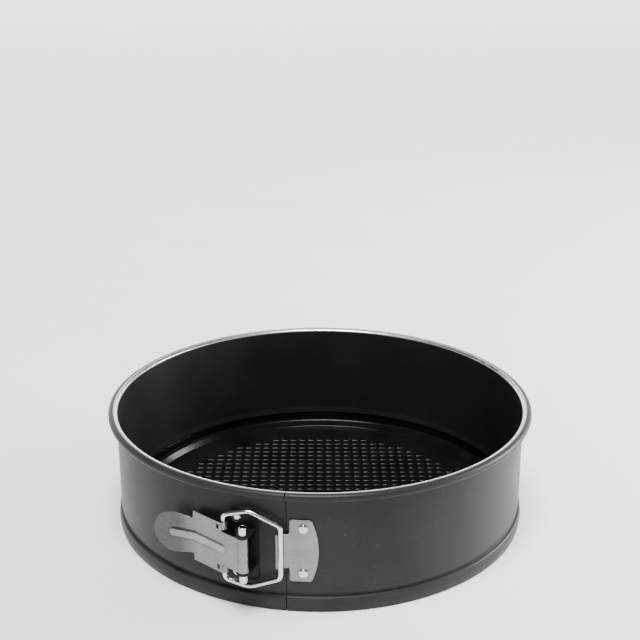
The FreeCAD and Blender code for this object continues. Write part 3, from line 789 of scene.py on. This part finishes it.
# ---------------------------------------------------------------------------
# Catch plate. Thicker plated sheet, square on the seam's side and bowed on the other, rolled to
# the band's curve; a narrow neck on its left turns up into the hook that holds the bail's leg.
catch_sheet = 1.0 * MM
catch_half = 19.5 * MM
catch_corner = 1.2 * MM
hook_half = 10.8 * MM
hook_fillet = 1.3 * MM
hook_inner = wire_radius + 0.35 * MM
hook_lip = 0.3 * MM
hook_bend = (hook_inner + catch_sheet / 2 - hook_lip) * 0.99
floor_y = hook_leg[1] + hook_inner + catch_sheet / 2
lip_x = hook_leg[0] - hook_inner - catch_sheet / 2
plate_radius = wall_outer + catch_sheet / 2
plate_left = 2.0 * MM
plate_shoulder = 14.4 * MM
plate_bulge = 18.3 * MM
neck_start = plate_left - 1.8 * MM
neck_end = plate_left - 0.6 * MM
neck_bend = 0.8 * MM
wall_turn = np.linspace(plate_left + 1.0 * MM, plate_bulge, 9) / plate_radius
wall_points = np.stack([plate_radius * np.sin(wall_turn), -plate_radius * np.cos(wall_turn)], -1)
hook_corners = np.vstack([[(lip_x, hook_leg[1] + hook_lip), (lip_x, floor_y), (neck_start, floor_y),
                           (neck_end, -plate_radius + 0.01 * MM)], wall_points])
catch_route, catch_length = plan_route(hook_corners, [hook_bend, neck_bend, neck_bend] + [1 * MM] * 8)
plate_run = catch_length - (plate_bulge - plate_left)
shoulder_run = catch_length - (plate_bulge - plate_shoulder)


def quarter_round(distance, radius):
    """How far a rounded corner stands off its square, radius times 1 - sqrt(1 - (1 - t)^2), where t
    is the distance from the corner over the radius, held between 0 and 1."""
    t = np.clip(distance / radius, 0, 1)
    return radius * (1 - np.sqrt(1 - (1 - t) ** 2))


def catch_height(s):
    """Half the catch's height along its sheet: the hook, a quarter round out to the plate, the
    plate, and its bowed side as the arc through both shoulders and the bulge, whose radius is the
    sum of the squares of the half-height and the bow, over twice the bow."""
    half = np.where(s < plate_run, hook_half + quarter_round(plate_run - s, hook_fillet), catch_half)
    bow = plate_bulge - plate_shoulder
    bow_radius = (catch_half ** 2 + bow ** 2) / (2 * bow)
    depth = np.clip(s - shoulder_run, 0, bow)
    arc = np.sqrt(np.clip(bow_radius ** 2 - (bow_radius - bow + depth) ** 2, 0, None))
    rounding = quarter_round(shoulder_run - s, catch_corner) * 0.6
    rounding += np.where(s > plate_run, quarter_round(s - plate_run, catch_corner) * 0.6, 0)
    return np.where(s > shoulder_run, np.minimum(arc, catch_half - catch_corner * 0.6), half - rounding)


catch_stations = np.concatenate([
    np.linspace(0, plate_run - 1.4 * MM, 26),
    np.linspace(plate_run - hook_fillet, plate_run - 0.02 * MM, 7),
    np.linspace(plate_run + 0.02 * MM, plate_run + 1.3 * MM, 6),
    np.linspace(plate_run + 2 * MM, shoulder_run - 1.3 * MM, 6),
    np.linspace(shoulder_run - catch_corner, shoulder_run, 6)[:-1],
    shoulder_run + (catch_length - shoulder_run) * np.sin(np.linspace(0, math.pi / 2, 24)) * 0.9997,
])
catch_plate = skin("catch_plate_sheet",
                   [bent_plate(catch_route, catch_height, catch_stations, catch_sheet)], 40)
catch_plate.data.materials.append(plated)
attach(catch_plate, "band_right")
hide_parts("catch_plate")


# ---------------------------------------------------------------------------
# Hinge pin and bracket. The pin is strip rolled into a hollow tube with its slit to the wall; the
# dark bracket's foot follows the band and its two cheeks hold the pin above and below the knuckle.
pin_radius = 2.3 * MM
pin_bore = 1.6 * MM
pin_half = 17.5 * MM
slit_start = out_angle + math.radians(186)
slit_end = out_angle + math.radians(534)
hinge_pin = skin("hinge_pin_tube", [rolled_sheet(pin_centre, pin_bore, pin_radius, latch_height - pin_half,
                                                 latch_height + pin_half, slit_start, slit_end)], 40)
hinge_pin.data.materials.append(bright)
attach(hinge_pin, "band_left")
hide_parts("hinge_pin")

bracket_sheet = 1.0 * MM
foot_half = 22.0 * MM
foot_corner = 3 * MM
foot_radius = wall_outer + bracket_sheet / 2
foot_start = -34.2 * MM / wall_outer
foot_end = -16.0 * MM / wall_outer
foot_length = (foot_end - foot_start) * foot_radius
foot_stations = foot_length * (0.5 - 0.5 * np.cos(np.linspace(0, math.pi, 30)))
cheek_start = -30.1 * MM / wall_outer
cheek_end = -17.3 * MM / wall_outer
cheek_inner = tongue_half + 0.4 * MM
cheek_soft = 0.15 * MM
eye_radius = pin_radius + 1.6 * MM


def around(turn, radius):
    """The plan point at an angle from the seam and a radius: radius times (sine, minus cosine)."""
    return radius * np.stack([np.sin(turn), -np.cos(turn)], -1)


def foot_route(s):
    """The foot's plan path: the arc of the band, by length from its left end."""
    return around(foot_start + s / foot_radius, foot_radius)


def foot_height(s):
    """Half the foot's height along it, less the quarter round of its four corners."""
    return foot_half - quarter_round(np.minimum(s, foot_length - s), foot_corner)


def cheek_slab(low):
    """One cheek: the outline of its foot on the wall and the eye round the pin, joined by the two
    lines that touch the eye, pushed through its thickness with softened edges."""
    high = low + bracket_sheet
    foot = around(np.linspace(cheek_end, cheek_start, 9), foot_radius)
    swings = []
    for point, side in ((foot[-1], 1), (foot[0], -1)):
        away = point - pin_centre[:2]
        swings.append(math.atan2(away[1], away[0]) + side * math.acos(eye_radius / np.linalg.norm(away)))
    turn = np.linspace(swings[0], swings[0] + (swings[1] - swings[0]) % (2 * math.pi), 40)
    loops = []
    soft = cheek_soft
    for height, draw in ((low, soft), (low + soft, 0), (high - soft, 0), (high, soft)):
        eye = pin_centre[:2] + (eye_radius - draw) * np.stack([np.cos(turn), np.sin(turn)], -1)
        loop = np.vstack([foot, eye])
        loops.append(np.hstack([loop, np.full((len(loop), 1), height)]))
    return np.stack(loops)


bracket = skin("bracket_sheet", [
    bent_plate(foot_route, foot_height, foot_stations, bracket_sheet),
    cheek_slab(latch_height + cheek_inner),
    cheek_slab(latch_height - cheek_inner - bracket_sheet),
], 40)
bracket.data.materials.append(coated_steel(
    "dark_bracket_steel", (0.007, 0.007, 0.0072, 1), (0.03, 0.03, 0.031, 1), 0.3, 0.4, 0.6))
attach(bracket, "band_left")
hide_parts("hinge_bracket")


# ---------------------------------------------------------------------------
# Rivets. Four plated steel rivets: dome heads outside, with the flat ring that the setting tool
# leaves, and shanks spread flush on the band's inside.
head_radius = 2.75 * MM
head_height = 1.2 * MM
head_rim = 0.35 * MM
shank_radius = 1.6 * MM
tail_radius = 2.25 * MM
tail_height = 0.45 * MM
rivet_axis = 0.02 * MM
bracket_rivet_turn = math.radians(-12.58)
catch_rivet_turn = math.radians(4.21)


def rivet_skin(turn, height, seat):
    """A rivet's profile (radius, way out) turned about the line from the pan's axis: flush tail,
    shank, seat, a short upright rim, and a dome whose radius falls as the cosine to the power 0.9
    while its height grows as the sine."""
    swell = np.linspace(0, math.pi / 2, 11)[:-1]
    dome_radius = head_radius * np.cos(swell) ** 0.9
    dome_height = head_rim + (head_height - head_rim) * np.sin(swell)
    r = np.concatenate([[rivet_axis, tail_radius - 0.15 * MM, tail_radius, shank_radius, shank_radius,
                         head_radius - 0.1 * MM, head_radius], dome_radius, [rivet_axis]])
    h = np.concatenate([[wall_inner, wall_inner, wall_inner + 0.05 * MM, wall_inner + tail_height],
                        seat + np.array([0.01, 0.01, 0.1]) * MM, seat + dome_height, [seat + head_height]])
    outward = np.append(around(turn, 1.0), 0)
    sideways = np.array([-outward[1], outward[0], 0])
    spin = np.linspace(0, 2 * math.pi, 32, endpoint=False)[None, :, None]
    ring = np.cos(spin) * sideways + np.sin(spin) * np.array([0, 0, 1.0])
    return outward * h[:, None, None] + np.array([0, 0, height]) + r[:, None, None] * ring


for owner, body, turn, spacing, seat in (
    ("bracket", "band_left", bracket_rivet_turn, 34.6 * MM, wall_outer + bracket_sheet),
    ("catch", "band_right", catch_rivet_turn, 28.2 * MM, wall_outer + catch_sheet),
):
    for label, side in (("upper", 1), ("lower", -1)):
        surface = rivet_skin(turn, latch_height + side * spacing / 2, seat)
        stud = skin(f"{owner}_rivet_{label}_head", [surface], 50)
        stud.data.materials.append(bright)
        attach(stud, body)
        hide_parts(f"{owner}_rivet_{label}")


# ---------------------------------------------------------------------------
# Studio. A plain pale floor and a surround that is pale only low down. One key stands high in
# front, with a soft panel on each side for the tall highlights of the wall and a long one behind
# that the rim mirrors.
floor_radius = 40
floor_drop = 0.3 * MM
floor_turn = np.linspace(0, 2 * math.pi, 96, endpoint=False)
floor_rim = np.column_stack([floor_radius * np.cos(floor_turn), floor_radius * np.sin(floor_turn),
                             np.full(len(floor_turn), -floor_drop)])
floor = bpy.data.objects.new("studio_floor", bpy.data.meshes.new("studio_floor"))
floor.data.from_pydata(floor_rim.tolist(), [], [list(range(len(floor_rim)))])
bpy.context.scene.collection.objects.link(floor)
floor_paint, floor_tree, floor_shader, floor_place = new_material("pale_floor")
floor_clouds = spread(floor_tree, noise(floor_tree, floor_place, 9, 4), 0.3, 0.7)
floor_tone = blend_colours(floor_tree, floor_clouds, (0.86, 0.86, 0.86, 1), (0.9, 0.9, 0.9, 1))
floor_tree.links.new(floor_tone, floor_shader.inputs["Base Color"])
floor_shader.inputs["Roughness"].default_value = 0.7
floor.data.materials.append(floor_paint)

world = bpy.data.worlds.new("pale_surround")
world.use_nodes = True
surround = world.node_tree
way_in = add_node(surround, "ShaderNodeTexCoord").outputs["Generated"]
upward = add_node(surround, "ShaderNodeSeparateXYZ", {0: way_in}).outputs["Z"]
surround.links.new(spread(surround, upward, 0.12, 0.42, 0.95, 0.14),
                   surround.nodes["Background"].inputs["Strength"])
surround.nodes["Background"].inputs["Color"].default_value = (0.96, 0.97, 1.0, 1)
bpy.context.scene.world = world


def soft_panel(name, place, target, width, height, watts):
    """A soft rectangular lamp at a place, turned to a target."""
    lamp = bpy.data.lights.new(name, "AREA")
    lamp.shape = "RECTANGLE"
    lamp.size, lamp.size_y, lamp.energy = width, height, watts
    holder = bpy.data.objects.new(name, lamp)
    holder.location = place
    holder.rotation_euler = (Vector(target) - Vector(place)).to_track_quat("-Z", "Y").to_euler()
    bpy.context.scene.collection.objects.link(holder)


def from_camera(turn, reach, height):
    """A point round the pan by its angle in degrees from the camera's side, positive to the right."""
    angle = camera_turn + math.radians(turn)
    return (reach * math.sin(angle), -reach * math.cos(angle), height)


key = bpy.data.lights.new("high_key", "SUN")
key.energy = 7.0
key.angle = math.radians(30)
key_rise = math.radians(75)
key_way = Vector(from_camera(-12, math.cos(key_rise), math.sin(key_rise)))
key_holder = bpy.data.objects.new("high_key", key)
key_holder.rotation_euler = key_way.to_track_quat("Z", "Y").to_euler()
bpy.context.scene.collection.objects.link(key_holder)
soft_panel("right_side", from_camera(104, 1.15, 0.34), (0, 0, 0.03), 0.55, 0.6, 36)
soft_panel("left_side", from_camera(-112, 1.3, 0.34), (0, 0, 0.03), 0.3, 0.5, 1.0)
soft_panel("back_wall", from_camera(180, 4.6, 1.2), (0, 0, 0.08), 8.0, 1.9, 180)

bpy.context.view_layer.update()
